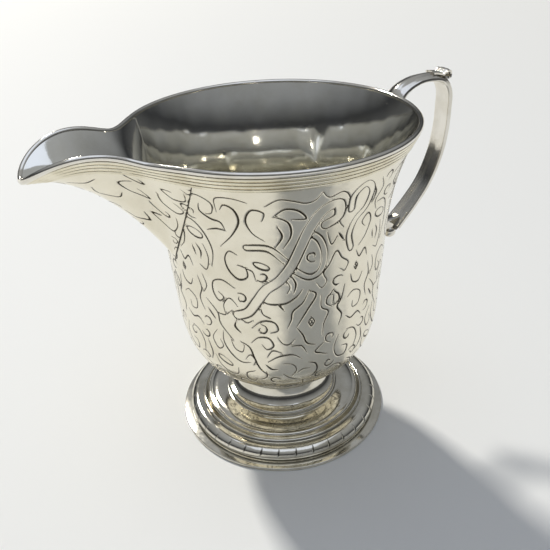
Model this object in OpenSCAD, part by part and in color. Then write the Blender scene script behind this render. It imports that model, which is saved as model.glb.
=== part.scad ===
// Silver cream jug: a raised bell-shaped body with an applied helmet spout,
// a reeded rim, a C-scroll strap handle and a spun spreading foot.
// Millimetres, +Z up. The origin is the centre of the foot's flat underside.
// The spout points along -X and the handle along +X.

/* [Overall] */
// Height of the top of the rim wire above the table
rim_h = 90; // [82:0.5:104]
// Radius over the outside of the rim wire
rim_r = 36.7; // [33:0.1:42]
// Distance from the axis to the tip of the spout
spout_reach = 60; // [52:0.5:70]
// Distance from the axis to the back of the handle
handle_reach = 56.2; // [50:0.1:68]

/* [Body] */
// Thickness of the raised silver sheet
wall = 0.9; // [0.6:0.05:1.5]
// Outer radius where the rounded bottom meets the straight wall
waist_r = 27.9; // [25:0.1:31]
// Height where the rounded bottom meets the straight wall
waist_h = 38; // [34:0.5:44]
// Outer radius where the straight wall starts to flare
flare_r = 29.7; // [27:0.1:33]
// Height where the straight wall starts to flare
flare_h = 64; // [56:0.5:70]
// Radius of the seat that the foot is soldered to
seat_r = 12.6; // [10:0.1:15]
// Height of the body's bottom above the table
seat_h = 17.6; // [14:0.1:24]

/* [Rim] */
// Diameter of the rim wire
wire_d = 1.4; // [1.2:0.1:2.6]
// How far the wire's centre lies inside the wall's outer face
wire_in = 0.38; // [0:0.05:0.45]
// Thickness of the reeded strip below the wire
reed_t = 0.4; // [0.3:0.05:0.9]
// Width of the reeded strip
reed_w = 4.2; // [3:0.1:6]
// Number of reeds on the strip
reed_count = 4; // [3:1:6]

/* [Spout] */
// Half the angle that the spout takes out of the rim
spout_half = 37.5; // [30:0.5:42]
// Height of the foot of the V where the spout leaves the body
spout_h = 60.5; // [56:0.5:68]
// Half the width of the blunt foot of the V
spout_foot = 3; // [1.5:0.1:5]
// How far the tip hangs below the rim
lip_droop = 2.7; // [0:0.1:6]
// Pull of the arch between the rim and the tip
lip_arch = 11.7; // [6:0.1:16]
// Thickness of the spout's sheet
spout_wall = 0.9; // [0.6:0.05:1.5]

/* [Foot] */
// Radius of the flat base ring
base_r = 30.8; // [27:0.1:36]
// Thickness of the base ring at its edge
base_t = 0.9; // [0.6:0.1:1.6]
// Outer radius of the rounded moulding
moulding_r = 28.6; // [26:0.1:33]
// Height of the top of the moulding
moulding_h = 5.5; // [4.5:0.1:7]
// Outer radius of the spun dome
dome_r = 23; // [20:0.1:25]
// Height of the dome's edge
dome_h = 6.2; // [5.6:0.1:7.4]
// Radius of the step at the bottom of the neck
step_r = 16.4; // [15:0.1:18.5]
// Height of that step
step_h = 7.6; // [7:0.1:8.4]
// Smallest radius of the neck
neck_r = 11.9; // [9.5:0.1:13]
// Number of nicks round the moulding
nick_count = 36; // [24:1:60]

/* [Handle] */
// Width of the strap along its length
strap_w = 6; // [4:0.1:8]
// Width of the strap at the rim
root_w = 7.6; // [5:0.1:10]
// Thickness of the strap at its spine
strap_t = 2.6; // [1.8:0.1:3.6]
// Height of the lower end of the strap
strap_end_h = 50.2; // [46:0.1:56]
// Distance from the axis to the lower end of the strap
strap_end_x = 39.4; // [36:0.1:44]
// How much wider the strap is at its lower end
end_flare = 0.8; // [-1:0.1:1.5]
// Radius of the bead at the lower end
bead_r = 2; // [1.4:0.1:2.8]
// Thickness of the bracket between the strap and the body
bracket_t = 2.6; // [2:0.1:4]
// Radius of the roll of the thumb scroll
scroll_r = 1.7; // [1.2:0.1:2.4]

/* [Hidden] */
$fn = 96;

// Share of the wire's radius between its centre and the flat that the wall meets
flat = 0.6;
// Steps along a smooth curve of the body's outline
curve_steps = 10;
// Steps along half of the lip, and from the lip down to the foot of the V
lip_steps = 18;
drop_steps = 14;

silver = "#D5D1C4";
shade_silver = "#BEBBB0";
warm_silver = "#CFC8B2";

wire_r = wire_d / 2;
// Height and outer radius of the wall's top edge, under the rim wire
edge_h = rim_h - wire_r - flat * wire_r;
edge_r = rim_r - wire_r + wire_in;

// ---- Curves -------------------------------------------------------------

function mix(a, b, t) = a + (b - a) * t;
function unit(v) = v / norm(v);
// Point at t on the Bezier curve with control points p
function bezier(p, t) =
    len(p) == 1 ? p[0] : bezier([for (i = [0:len(p) - 2]) mix(p[i], p[i + 1], t)], t);
// Unit vector square to the segment through a and b, on its right-hand side
function side(a, b) = let (d = unit(b - a)) [d[1], -d[0]];
// Outline p moved by t towards its left-hand side
function moved(p, t) = [for (i = [0:len(p) - 1])
    p[i] - t * unit(side(p[max(i - 1, 0)], p[max(i, 1)])
                  + side(p[min(i, len(p) - 2)], p[min(i + 1, len(p) - 1)]))];
function backwards(p) = [for (i = [len(p) - 1:-1:0]) p[i]];
// Point at t on the smooth curve through the points p
function through(p, t) =
    let (n = len(p) - 1, i = min(floor(t * n), n - 1), f = t * n - i,
         a = p[max(i - 1, 0)], b = p[i], c = p[i + 1], d = p[min(i + 2, n)])
    b + 0.5 * f * (c - a + f * (2 * a - 5 * b + 4 * c - d + f * (3 * (b - c) + d - a)));

// ---- Body outline: radius and height, from the bottom to the rim --------

wall_dir = unit([flare_r - waist_r, flare_h - waist_h]);
bowl_pull = 0.62 * (waist_h - seat_h);
bowl_ctrl = [[seat_r, seat_h], [seat_r + 8, seat_h + 1.8],
             [waist_r, waist_h] - bowl_pull * wall_dir, [waist_r, waist_h]];
// The flare is the arc that leaves the straight wall smoothly and ends at the rim
flare_to = [edge_r, edge_h] - [flare_r, flare_h];
flare_along = flare_to * wall_dir;
flare_out = flare_to * [wall_dir[1], -wall_dir[0]];
flare_turn = 2 * atan2(flare_out, flare_along);
flare_arc_r = (flare_to * flare_to) / (2 * flare_out);
wall_lean = atan2(wall_dir[0], wall_dir[1]);
// Lean of the wall from upright at the rim
rim_lean = wall_lean + flare_turn;
function flare_point(a) =
    [flare_r, flare_h] + flare_arc_r * [cos(wall_lean) - cos(wall_lean + a),
                                        sin(wall_lean + a) - sin(wall_lean)];

body_out = concat(
    [for (i = [0:curve_steps]) bezier(bowl_ctrl, i / curve_steps)],
    [for (i = [0:curve_steps]) flare_point(flare_turn * i / curve_steps)]);
body_in = moved(body_out, wall);
// Outer radius of the body at height z
function body_r(z) = lookup(z, [for (p = body_out) [p[1], p[0]]]);

module body_envelope() {
    rotate_extrude() polygon(concat([[0, seat_h]], body_out, [[0, edge_h]]));
}

// ---- Spout: a sheet between the lip, the keel and the V cut in the body --

root_x = edge_r * cos(spout_half);
root_y = edge_r * sin(spout_half);
tip_x = spout_reach - wire_r;
tip_h = edge_h - lip_droop;
// Half of the lip, from the rim to the tip; x grows towards the tip
lip_ctrl = [
    [root_x, root_y, edge_h],
    [mix(root_x, tip_x, 0.35), 0.38 * root_y, edge_h],
    [mix(root_x, tip_x, 0.24), 0.45 * root_y, edge_h - 2.5],
    [mix(root_x, tip_x, 0.57), 0.66 * root_y, edge_h + lip_arch],
    [tip_x, 0.4 * root_y, tip_h + 1.4],
    [tip_x, 0, tip_h]];
function lip(u) = bezier(lip_ctrl, u);
// The lip's shape with its start at 0 and its tip at 1
function lip_x(u) = (lip(u)[0] - root_x) / (tip_x - root_x);
function lip_y(u) = lip(u)[1] / root_y;
function lip_rise(u) = lip(u)[2] - mix(edge_h, tip_h, lip_x(u));
// Point on the seam, on a body of radius r less depth; v runs from the lip down
function seam(v, depth = 0) =
    let (h = mix(edge_h, spout_h, v), y = mix(root_y, spout_foot, v))
    [sqrt(pow(body_r(h) - depth, 2) - y * y), y, h];
keel_ctrl = [[tip_x, tip_h], [spout_reach - 13, tip_h - 0.5],
             [body_r(spout_h) + 7.5, spout_h + 13], [body_r(spout_h), spout_h]];
function keel(v) = bezier(keel_ctrl, v);
// Point on the spout's outside: u from the seam to the keel, v from the lip down
function spout_at(u, v) =
    let (s = seam(v), k = keel(v))
    [-mix(s[0], k[0], lip_x(u)), s[1] * lip_y(u),
     mix(s[2], k[1], lip_x(u)) + lip_rise(u) * pow(1 - v, 1.6)];
// Outward direction there, from the points close by
nudge = 0.01;
function spout_out(u, v) =
    let (a = min(u, 1 - nudge), b = min(v, 1 - nudge))
    u > 1 - nudge
        ? unit([spout_at(1, b + nudge)[2] - spout_at(1, b)[2], 0,
                spout_at(1, b)[0] - spout_at(1, b + nudge)[0]])
        : unit(cross(spout_at(a, b + nudge) - spout_at(a, b),
                     spout_at(a + nudge, b) - spout_at(a, b)));
// Point on the inside; its edges lie in the planes of the V's cut faces
function spout_in(u, v) =
    let (p = spout_at(u, v), q = p - spout_wall * spout_out(u, v), e = seam(v, wall))
    u == 0 ? [-e[0], e[1], e[2]] : [q[0], q[1], mix(q[2], p[2], pow(v, 8))];
function mirrored(p) = [p[0], -p[1], p[2]];
// Points of half a rib followed by their mirror images
function both_sides(half) =
    concat(half, [for (i = [len(half) - 2:-1:0]) mirrored(half[i])]);
function rib_out(v) = both_sides([for (i = [0:lip_steps]) spout_at(i / lip_steps, v)]);
function rib_in(v) = both_sides([for (i = [0:lip_steps]) spout_in(i / lip_steps, v)]);

// Closed solid through rings of equal length, each ring a closed loop of points.
// An end is closed by one flat face, or, where its points don't lie in a plane, by a
// strip of triangles from each point i to the one that faces it, n - 1 - i.
module skin(rings, strips = false) {
    n = len(rings[0]);
    last = (len(rings) - 1) * n;
    sides = [for (j = [0:len(rings) - 2], i = [0:n - 1], k = [0, 1])
        let (a = j * n + i, b = j * n + (i + 1) % n)
        k == 0 ? [a, b, a + n] : [b, b + n, a + n]];
    strip = [for (i = [0:n / 2 - 2], k = [0, 1])
        k == 0 ? [i, n - 1 - i, i + 1] : [i + 1, n - 1 - i, n - 2 - i]];
    ends = strips
        ? concat(strip, [for (f = strip) [f[0] + last, f[2] + last, f[1] + last]])
        : [[for (i = [n - 1:-1:0]) i], [for (i = [0:n - 1]) last + i]];
    polyhedron(points = [for (r = rings, p = r) p], faces = concat(sides, ends));
}

// The V cut in the body, as seen along X
module spout_cut() {
    rotate([90, 0, -90]) linear_extrude(rim_r * 2)
        polygon([[-root_y, edge_h], [-spout_foot, spout_h],
                 [spout_foot, spout_h], [root_y, edge_h],
                 [root_y, rim_h + 1], [-root_y, rim_h + 1]]);
}

// ---- Rim sections: x outwards from the wall's outside, y up along the wall --

wire_section = [for (a = [-asin(flat) : (180 + 2 * asin(flat)) / 14 : 180.5 + asin(flat)])
    [wire_r * cos(a) - wire_in, wire_r * (sin(a) + flat)]];
reed_pitch = reed_w / reed_count;
reed_section = concat([[0, 0], [0, -reed_w]],
    [for (i = [reed_count - 1:-1:0], a = [-90:45:90])
        [reed_t * (0.35 + 0.65 * cos(a)), reed_pitch * (-i - 0.5 + 0.46 * sin(a))]]);

// The section swept round the rim, from one side of the spout to the other
module round_rim(section) {
    rotate([0, 0, 180 + spout_half])
        rotate_extrude(angle = 360 - 2 * spout_half)
            translate([edge_r, edge_h]) rotate(-rim_lean) polygon(section);
}

// Frame at the lip: outward, and up along the sheet
function lip_up(u) =
    let (along = unit(spout_at(min(u + nudge, 1), 0) - spout_at(min(u, 1 - nudge), 0)),
         down = unit(spout_at(u, 0.03) - spout_at(u, 0)))
    -unit(down - (down * along) * along);
function lip_ring(section, u) =
    let (o = spout_out(u, 0), w = lip_up(u), p = spout_at(u, 0))
    [for (q = section) p + q[0] * o + q[1] * w];
module round_lip(section) {
    half = [for (i = [0:lip_steps]) lip_ring(section, i / lip_steps)];
    skin(concat(half, [for (i = [lip_steps - 1:-1:0]) [for (p = half[i]) mirrored(p)]]));
}

// ---- Foot outline -------------------------------------------------------

base_top = base_t + 0.5;
// Radius of the rounded edges that spinning leaves
spun_r = 0.7;
dome_out = concat(
    [[dome_r, base_top]],
    [for (a = [0:30:90])
        [dome_r - spun_r * (1 - cos(a)), dome_h - spun_r * (1 - sin(a))]],
    [[mix(step_r, dome_r, 0.5), mix(step_h, dome_h, 0.4)], [step_r + 0.1, step_h - spun_r]],
    [for (a = [0:30:90]) [step_r - spun_r * (1 - cos(a)), step_h + spun_r * sin(a)]],
    [for (i = [1:curve_steps])
        bezier([[step_r - 0.9, step_h + 0.6], [neck_r + 0.6, step_h + 1.2],
                [neck_r - 0.6, mix(step_h, seat_h, 0.62)], [seat_r, seat_h]],
               i / curve_steps)]);
dome_in = moved(dome_out, wall);
// The moulding is half round, with a thin bead where it meets the dome
moulding_wide = 2.6;
moulding_tall = 2.2;
thread_r = 0.45;
moulding_section = concat(
    [[dome_r, base_top], [moulding_r - 1.2, base_top]],
    [for (a = [-50:14:90])
        [moulding_r - moulding_wide + moulding_wide * cos(a),
         moulding_h - moulding_tall - 0.5 + moulding_tall * sin(a)]],
    [[dome_r + 1.7, moulding_h - 0.75]],
    [for (a = [0:45:180])
        [dome_r + 1.1 + thread_r * cos(a), moulding_h - 0.55 + thread_r * sin(a)]],
    [[dome_r, moulding_h - 0.95]]);
base_in = dome_r - 2.4;

// ---- Handle path: distance from the axis, and height ---------------------

pad_t = 0.8;
pad_half_turn = 6.5;
pad_drop = 5.6;
pad_h = rim_h - 3.2;
pad_x = body_r(pad_h) + reed_t;
strap_x = handle_reach - strap_t / 2;
// Shape of the strap: shares of the reach past the rim, and of the drop to its end
strap_shape = [[0, 0], [0.13, -0.1], [0.36, -0.155], [0.62, -0.165], [0.86, -0.135],
               [0.985, -0.04], [1, 0.11], [0.99, 0.26], [0.915, 0.46], [0.74, 0.67],
               [0.49, 0.84]];
strap_pts = concat(
    [for (s = strap_shape) [mix(pad_x, strap_x, s[0]), mix(pad_h, strap_end_h, s[1])]],
    [[strap_end_x, strap_end_h]]);
strap_steps = 56;
function strap_at(t) = through(strap_pts, t);
function strap_dir(t) = unit(strap_at(min(t + nudge, 1)) - strap_at(max(t - nudge, 0)));
function strap_out(t) = let (d = strap_dir(t)) [-d[1], d[0]];
function strap_width(t) = strap_w + (root_w - strap_w) * pow(max(1 - t / 0.25, 0), 1.5)
    + end_flare * pow(max(t - 0.8, 0) / 0.2, 2);
function strap_depth(t) = strap_t * (1 - 0.3 * pow(sin(180 * min(t / 0.45, 1)), 2));
// Half width and height of the strap's corners: flat inside, a spine outside
strap_section = [[-0.5, -0.32], [-0.44, -0.5], [0, -0.42], [0.44, -0.5], [0.5, -0.32],
                 [0.47, 0.02], [0.2, 0.36], [0.07, 0.5], [-0.07, 0.5], [-0.2, 0.36],
                 [-0.47, 0.02]];
function strap_ring(t) =
    let (p = strap_at(t), out = strap_out(t), w = strap_width(t), h = strap_depth(t))
    [for (q = backwards(strap_section))
        [p[0] + out[0] * q[1] * h, q[0] * w, p[1] + out[1] * q[1] * h]];
strap_end = strap_at(1);
end_dir = strap_dir(1);
end_turn = atan2(end_dir[0], end_dir[1]);
collar_t = 0.7;
collar_r = 1.75;

// Centre of the thumb scroll's roll, just outside the bend, and the height of its leaf
scroll_at = strap_at(0.37) + [0.9, 1.5];
function leaf_h(t) = strap_depth(t) / 2 + 0.6 * min(1, (0.49 - t) / 0.08);

module strap_blank() {
    skin([for (i = [0:strap_steps]) strap_ring(i / strap_steps)]);
}

// Places children with +Z along the strap's direction at its lower end
module at_strap_end() {
    translate([strap_end[0], 0, strap_end[1]]) rotate([0, end_turn, 0]) children();
}

// ---- The pieces ---------------------------------------------------------

// Raised body, open at the top, with the V cut out for the spout
module body_shell() color(warm_silver) difference() {
    rotate_extrude()
        polygon(concat([[0, seat_h]], body_out, backwards(body_in), [[0, seat_h + wall]]));
    spout_cut();
}

// Helmet spout, its edges soldered to the edges of the V
module spout() color(silver)
    skin([for (j = [0:drop_steps])
        let (v = j / drop_steps) concat(rib_out(v), backwards(rib_in(v)))], strips = true);

// Polished wire round the rim and the lip
module rim_wire() color(shade_silver) {
    round_rim(wire_section);
    round_lip(wire_section);
}

// Reeded strip under the wire, round the body
module rim_reeding() color(silver) round_rim(reed_section);

// Reeded strip under the wire, round the spout
module lip_reeding() color(silver) round_lip(reed_section);

// Spun foot: waisted neck, step and low dome, hollow underneath
module foot_dome() color(shade_silver)
    rotate_extrude() polygon(concat(dome_out, backwards(dome_in)));

// Rounded moulding with small nicks, soldered round the dome
module foot_moulding() color(shade_silver) difference() {
    rotate_extrude() polygon(moulding_section);
    for (i = [0:nick_count - 1])
        rotate([0, 0, 360 * (i + 0.5) / nick_count])
            translate([moulding_r - 0.1, 0, moulding_h - 2.4])
                rotate([0, -30, 0]) rotate([0, 0, 45]) cube([0.5, 0.5, 2.2], center = true);
}

// Flat ring that the jug stands on
module base_ring() color(silver) rotate_extrude()
    polygon([[base_in, 0], [base_r, 0], [base_r, base_t - 0.2], [base_r - 0.2, base_t],
             [moulding_r - 0.9, base_top], [base_in, base_top]]);

// Plate that spreads the handle's pull over the rim
module handle_root_pad() color(silver)
    rotate([0, 0, -pad_half_turn]) rotate_extrude(angle = 2 * pad_half_turn)
        translate([edge_r + reed_t, edge_h]) rotate(-rim_lean)
            polygon([[0, -0.3], [0, -pad_drop], [pad_t * 0.6, -pad_drop],
                     [pad_t, 0.6 - pad_drop], [pad_t, -0.3]]);

// C-scroll strap, flat inside with a spine along the outside
module handle_strap() color(silver) difference() {
    strap_blank();
    rotate_extrude() translate([edge_r + reed_t, edge_h]) rotate(-rim_lean)
        translate([-10, -12]) square([10 + pad_t, 16]);
}

// Rolled leaf where the thumb rests, on the bend of the strap
module thumb_scroll() color(shade_silver) difference() {
    rotate([90, 0, 0]) linear_extrude(strap_w * 0.86, center = true)
        polygon(concat([for (t = [0.27, 0.29, 0.31]) strap_at(t) + leaf_h(t) * strap_out(t)],
                       [for (a = [160:-20:-40]) scroll_at + scroll_r * [cos(a), sin(a)]],
                       [for (t = [0.43, 0.45, 0.47]) strap_at(t) + leaf_h(t) * strap_out(t)],
                       [for (t = [0.47:-0.02:0.27]) strap_at(t)]));
    strap_blank();
}

// Bracket between the strap's inner face and the body, wider where it meets the body
module handle_bracket() color(silver) difference() {
    foot_x = body_r(strap_end_h);
    rotate([90, 0, 0]) linear_extrude(bracket_t, center = true)
        polygon([[foot_x - 1, strap_end_h - 2.6], [foot_x + 2.4, strap_end_h - 0.6],
                 strap_at(0.99), strap_at(0.945),
                 [foot_x + 2.4, strap_end_h + 1.8], [foot_x - 1, strap_end_h + 3.6]]);
    body_envelope();
    strap_blank();
}

// Thin collar between the strap and its bead
module terminal_collar() color("#6E6B62")
    at_strap_end() cylinder(h = collar_t, r = collar_r, $fn = 48);

// Bead that ends the handle
module terminal_bead() color(silver) at_strap_end() difference() {
    translate([0, 0, collar_t + bead_r * 0.72]) sphere(bead_r, $fn = 64);
    translate([0, 0, collar_t - bead_r]) cube(bead_r * 2, center = true);
}

body_shell();
spout();
rim_wire();
rim_reeding();
lip_reeding();
foot_dome();
foot_moulding();
base_ring();
handle_root_pad();
handle_strap();
thumb_scroll();
handle_bracket();
terminal_collar();
terminal_bead();
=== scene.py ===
# %% [markdown]
# # A silver cream jug
# This lesson dresses a finished engineering model of a small silver cream jug. The
# model gives every size. Here each piece of sheet, wire and casting is made again with
# a finer skin, engraved where the silversmith engraved it, and given a polish.
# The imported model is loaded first, because everything else is placed by it.

# %% Load the model
import math

import bpy
import numpy as np
from mathutils import Matrix, Vector


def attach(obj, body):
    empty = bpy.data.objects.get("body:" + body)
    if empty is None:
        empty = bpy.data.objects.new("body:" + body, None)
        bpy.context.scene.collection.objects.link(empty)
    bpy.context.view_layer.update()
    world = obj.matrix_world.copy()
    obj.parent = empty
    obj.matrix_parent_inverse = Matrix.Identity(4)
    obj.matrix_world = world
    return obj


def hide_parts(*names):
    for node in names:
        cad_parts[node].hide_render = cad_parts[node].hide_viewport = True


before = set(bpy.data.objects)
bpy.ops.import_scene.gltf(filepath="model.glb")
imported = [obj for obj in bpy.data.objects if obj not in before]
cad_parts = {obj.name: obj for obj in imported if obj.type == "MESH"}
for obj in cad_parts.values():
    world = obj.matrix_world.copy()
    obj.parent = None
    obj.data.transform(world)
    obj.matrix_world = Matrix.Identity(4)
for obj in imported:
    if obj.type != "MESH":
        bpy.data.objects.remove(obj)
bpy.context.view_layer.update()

# %% [markdown]
# ## Driving sizes
# All of these are in millimetres, and they are the sizes that the model was drawn
# with. They are written again here, so a size that changes in the model has to be
# changed here too.

# %% Sizes in millimetres
MM = 0.001
rim_r = 36.7
spout_reach = 60.0
handle_reach = 56.2
wall = 0.9
waist = np.array([27.9, 38.0])
flare = np.array([29.7, 64.0])
seat = np.array([12.6, 17.6])
wire_r = 0.7
wire_in = 0.38
flat = 0.6
reed_t, reed_w, reed_count = 0.4, 4.2, 4
spout_half = math.radians(37.5)
spout_h, spout_foot = 60.5, 3.0
lip_droop, lip_arch = 2.7, 11.7
rim_h = 90.0
edge_h = rim_h - wire_r - flat * wire_r
edge_r = rim_r - wire_r + wire_in
print("rim:", rim_h, "mm high,", 2 * rim_r, "mm across")

# %% [markdown]
# ## The camera
# The jug is seen from above its spout side, a hand's breadth away. A camera close to a
# small object gives strong perspective, so the distance matters as much as the angle:
# a longer lens from further back would flatten the mouth's ellipse.

# %% Camera
view_turn = math.radians(-26)
turn = Matrix.Rotation(view_turn, 3, "Z")
camera_at = turn @ Vector((0.0, -154.62, 137.34)) * MM
camera_right = turn @ Vector((0.99897, -0.0199, -0.0408))
camera_up = turn @ Vector((0.0453, 0.5131, 0.8571))
camera_back = camera_right.cross(camera_up).normalized()
camera_up = camera_back.cross(camera_right).normalized()
bpy.ops.object.camera_add()
camera = bpy.context.active_object
camera.matrix_world = Matrix.Translation(camera_at) @ Matrix(
    (camera_right.normalized(), camera_up, camera_back)).transposed().to_4x4()
camera.data.lens = 41.9
camera.data.sensor_width = 36
camera.data.clip_start = 0.005
bpy.context.scene.camera = camera
print("camera", [round(v / MM) for v in camera_at], "mm")

# %% [markdown]
# ## Curves
# The silversmith's outline is a few sweeps: a rounded bottom, a straight wall and a
# flare. A Bezier curve gives a sweep from four points, an arc gives the flare, and
# "even" spreads points along the result so that the mesh has square faces.


# %% Curve helpers
def unit(v):
    """Vectors of length one, for one vector or a row of them."""
    v = np.asarray(v, float)
    return v / np.maximum(np.linalg.norm(v, axis=-1, keepdims=True), 1e-9)


def mix(a, b, t):
    return a + (b - a) * t


def bezier(points, t):
    """Points at the shares t along the Bezier curve with these control points."""
    rows = [np.asarray(p, float) for p in points]
    t = np.asarray(t, float)[..., None]
    while len(rows) > 1:
        rows = [a + (b - a) * t for a, b in zip(rows, rows[1:])]
    return rows[0]


def through(points, t):
    """Points at the shares t along the smooth curve that passes through points."""
    p = np.asarray(points, float)
    n = len(p) - 1
    t = np.asarray(t, float)
    i = np.clip(np.floor(t * n).astype(int), 0, n - 1)
    f = (t * n - i)[..., None]
    a, b, c, d = p[np.maximum(i - 1, 0)], p[i], p[i + 1], p[np.minimum(i + 2, n)]
    return b + 0.5 * f * (c - a + f * (2 * a - 5 * b + 4 * c - d + f * (3 * (b - c) + d - a)))


def lengths(points):
    """Distance along the path from its start to each of its points."""
    steps = np.linalg.norm(np.diff(points, axis=0), axis=1)
    return np.concatenate([[0], np.cumsum(steps)])


def even(points, count):
    """The same path with count evenly spaced points."""
    points = np.asarray(points, float)
    along = lengths(points)
    wanted = np.linspace(0, along[-1], count)
    return np.stack([np.interp(wanted, along, points[:, k])
                     for k in range(points.shape[1])], axis=1)


def shifted(points, distance):
    """An outline moved sideways, to the left of its direction."""
    d = unit(np.gradient(np.asarray(points, float), axis=0))
    return points + distance * np.stack([-d[:, 1], d[:, 0]], axis=1)


# %% The body's outline: radius and height
wall_dir = unit(flare - waist)
bowl = [seat, seat + [8, 1.8], waist - 0.62 * (waist[1] - seat[1]) * wall_dir, waist]
to_rim = np.array([edge_r, edge_h]) - flare
out_part = to_rim @ np.array([wall_dir[1], -wall_dir[0]])
flare_turn = 2 * math.atan2(out_part, to_rim @ wall_dir)
flare_arc = (to_rim @ to_rim) / (2 * out_part)
wall_lean = math.atan2(wall_dir[0], wall_dir[1])
rim_lean = wall_lean + flare_turn
angle = np.linspace(0, flare_turn, 60)
flare_line = flare + flare_arc * np.stack(
    [math.cos(wall_lean) - np.cos(wall_lean + angle),
     np.sin(wall_lean + angle) - math.sin(wall_lean)], axis=1)
outline = even(np.concatenate([bezier(bowl, np.linspace(0, 1, 60)), flare_line]), 400)
outline_s = lengths(outline)


def body_r(z):
    """Outer radius of the body at height z."""
    return np.interp(z, outline[:, 1], outline[:, 0])


print("the wall measures", round(outline_s[-1], 1), "mm from the foot to the rim")

# %% [markdown]
# ## Making pieces
# Three ways of making a piece cover the whole jug. Spinning an outline is what the
# lathe and the raising hammer do, so body and foot are spun. A grid bent to a formula
# makes the spout and the swept wires and strap, where every point follows a rule. Small
# castings start as a primitive and are cut and bevelled. Each piece ends smooth, closed,
# and with its place in its mesh.


# %% Modelling helpers
def only(obj):
    """Selects this object and nothing else."""
    bpy.ops.object.select_all(action="DESELECT")
    obj.select_set(True)
    bpy.context.view_layer.objects.active = obj


def clean(obj, gap=0.004):
    """Merges doubled points and turns every face outwards."""
    only(obj)
    bpy.ops.object.mode_set(mode="EDIT")
    bpy.ops.mesh.select_all(action="SELECT")
    bpy.ops.mesh.remove_doubles(threshold=gap * MM)
    bpy.ops.mesh.normals_make_consistent(inside=False)
    bpy.ops.object.mode_set(mode="OBJECT")


def points_of(obj):
    """The mesh's points, in millimetres."""
    co = np.empty(len(obj.data.vertices) * 3)
    obj.data.vertices.foreach_get("co", co)
    return co.reshape(-1, 3) / MM


def put(obj, points):
    obj.data.vertices.foreach_set("co", (np.asarray(points) * MM).ravel())
    obj.data.update()


def spun(name, line, steps):
    """A closed outline of radius and height turned once round the upright axis."""
    mesh = bpy.data.meshes.new(name)
    n = len(line)
    mesh.from_pydata([(r * MM, 0, z * MM) for r, z in line],
                     [(i, i + 1) for i in range(n - 1)], [])
    obj = bpy.data.objects.new(name, mesh)
    bpy.context.collection.objects.link(obj)
    only(obj)
    bpy.ops.object.mode_set(mode="EDIT")
    bpy.ops.mesh.select_all(action="SELECT")
    bpy.ops.mesh.spin(steps=steps, angle=2 * math.pi, center=(0, 0, 0), axis=(0, 0, 1))
    bpy.ops.object.mode_set(mode="OBJECT")
    clean(obj)
    return obj


def bent(name, place, across, along):
    """A grid whose point at the shares (u, v) is put at place(u, v)."""
    bpy.ops.object.select_all(action="DESELECT")
    bpy.ops.mesh.primitive_grid_add(x_subdivisions=across, y_subdivisions=along, size=1)
    obj = bpy.context.active_object
    obj.name = obj.data.name = name
    flat_co = points_of(obj) * MM + 0.5
    put(obj, place(np.clip(flat_co[:, 0], 0, 1), np.clip(flat_co[:, 1], 0, 1)))
    return obj


def close_ends(obj):
    """Fills each open edge loop with a face."""
    only(obj)
    bpy.ops.object.mode_set(mode="EDIT")
    bpy.ops.mesh.select_mode(type="EDGE")
    bpy.ops.mesh.select_all(action="DESELECT")
    bpy.ops.mesh.select_non_manifold(extend=False)
    bpy.ops.mesh.fill()
    bpy.ops.object.mode_set(mode="OBJECT")
    clean(obj)


def done(obj, *nodes, slot, look, crease=35):
    """Smooths a finished piece, gives it its finish and stands it in for its nodes."""
    only(obj)
    bpy.ops.object.shade_smooth_by_angle(angle=math.radians(crease))
    obj.data.materials.clear()
    obj.data.materials.append(look)
    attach(obj, "root")
    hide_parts(*nodes)
    print(f"{obj.name}: {len(obj.data.polygons)} faces")
    return obj

# %% [markdown]
# ## Engraving
# The whole jug is covered with strapwork: flat bands that loop over and under each
# other, scrolls, leaves, ovals, diamonds and flecks. It was cut by hand with a graver,
# whose V-shaped groove swells and tapers as the hand leans on it.
# Cutting thousands of grooves into a mesh would need millions of faces. Instead each
# point of the skin remembers how far it is from the nearest cut, and on which side of
# it, and the finish turns that into a line with a slight bump and a painted dark colour,
# part tarnish and part painted shade for the groove's depth. Such a distance stays sharp
# between points, where a painted colour would blur.

# %% A plate to engrave
panel = 47.1


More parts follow.
